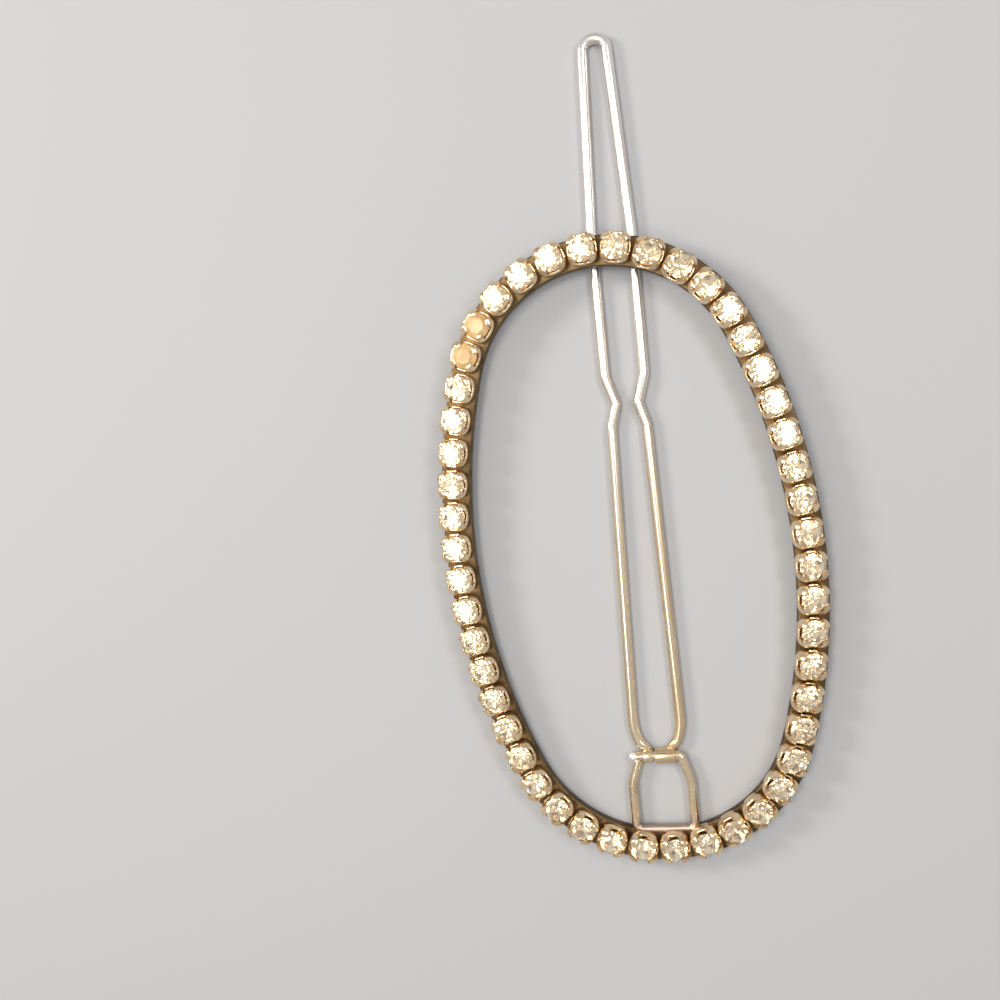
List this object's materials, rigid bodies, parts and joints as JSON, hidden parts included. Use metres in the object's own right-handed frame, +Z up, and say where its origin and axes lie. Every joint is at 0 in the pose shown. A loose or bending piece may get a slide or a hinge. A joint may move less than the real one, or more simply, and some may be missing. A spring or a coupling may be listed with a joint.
{
  "type": "hair barrette",
  "caption": "Oval hair barrette: a ring of round clear stones in gilt four-prong cups, with a long waisted wire pin hinged on a bracket inside the ring.",
  "frame": {"origin": "on the surface that the barrette lies on, under the middle of its box", "axes": "+Z up, out of the stones; +Y along the ring's long axis, towards the pin's tip; +X to the right seen from above"},
  "size_m": [0.0372, 0.0816, 0.0041],
  "materials": {
    "gilt": "polished, worn gilding",
    "crystal": "faceted",
    "pin_wire": "polished, pale gilding"
  },
  "bodies": {
    "ornament": {"setting": "gilt", "stones": "crystal"},
    "pin": {"clasp_pin": "pin_wire"}
  },
  "joints": [
    {"name": "pin_hinge", "type": "hinge", "parent": "ornament", "child": "pin", "pos_m": [-0.00025, -0.0299, 0.00077], "axis": [-0.9982, 0.0593, 0], "range_deg": [0, 110]}
  ]
}
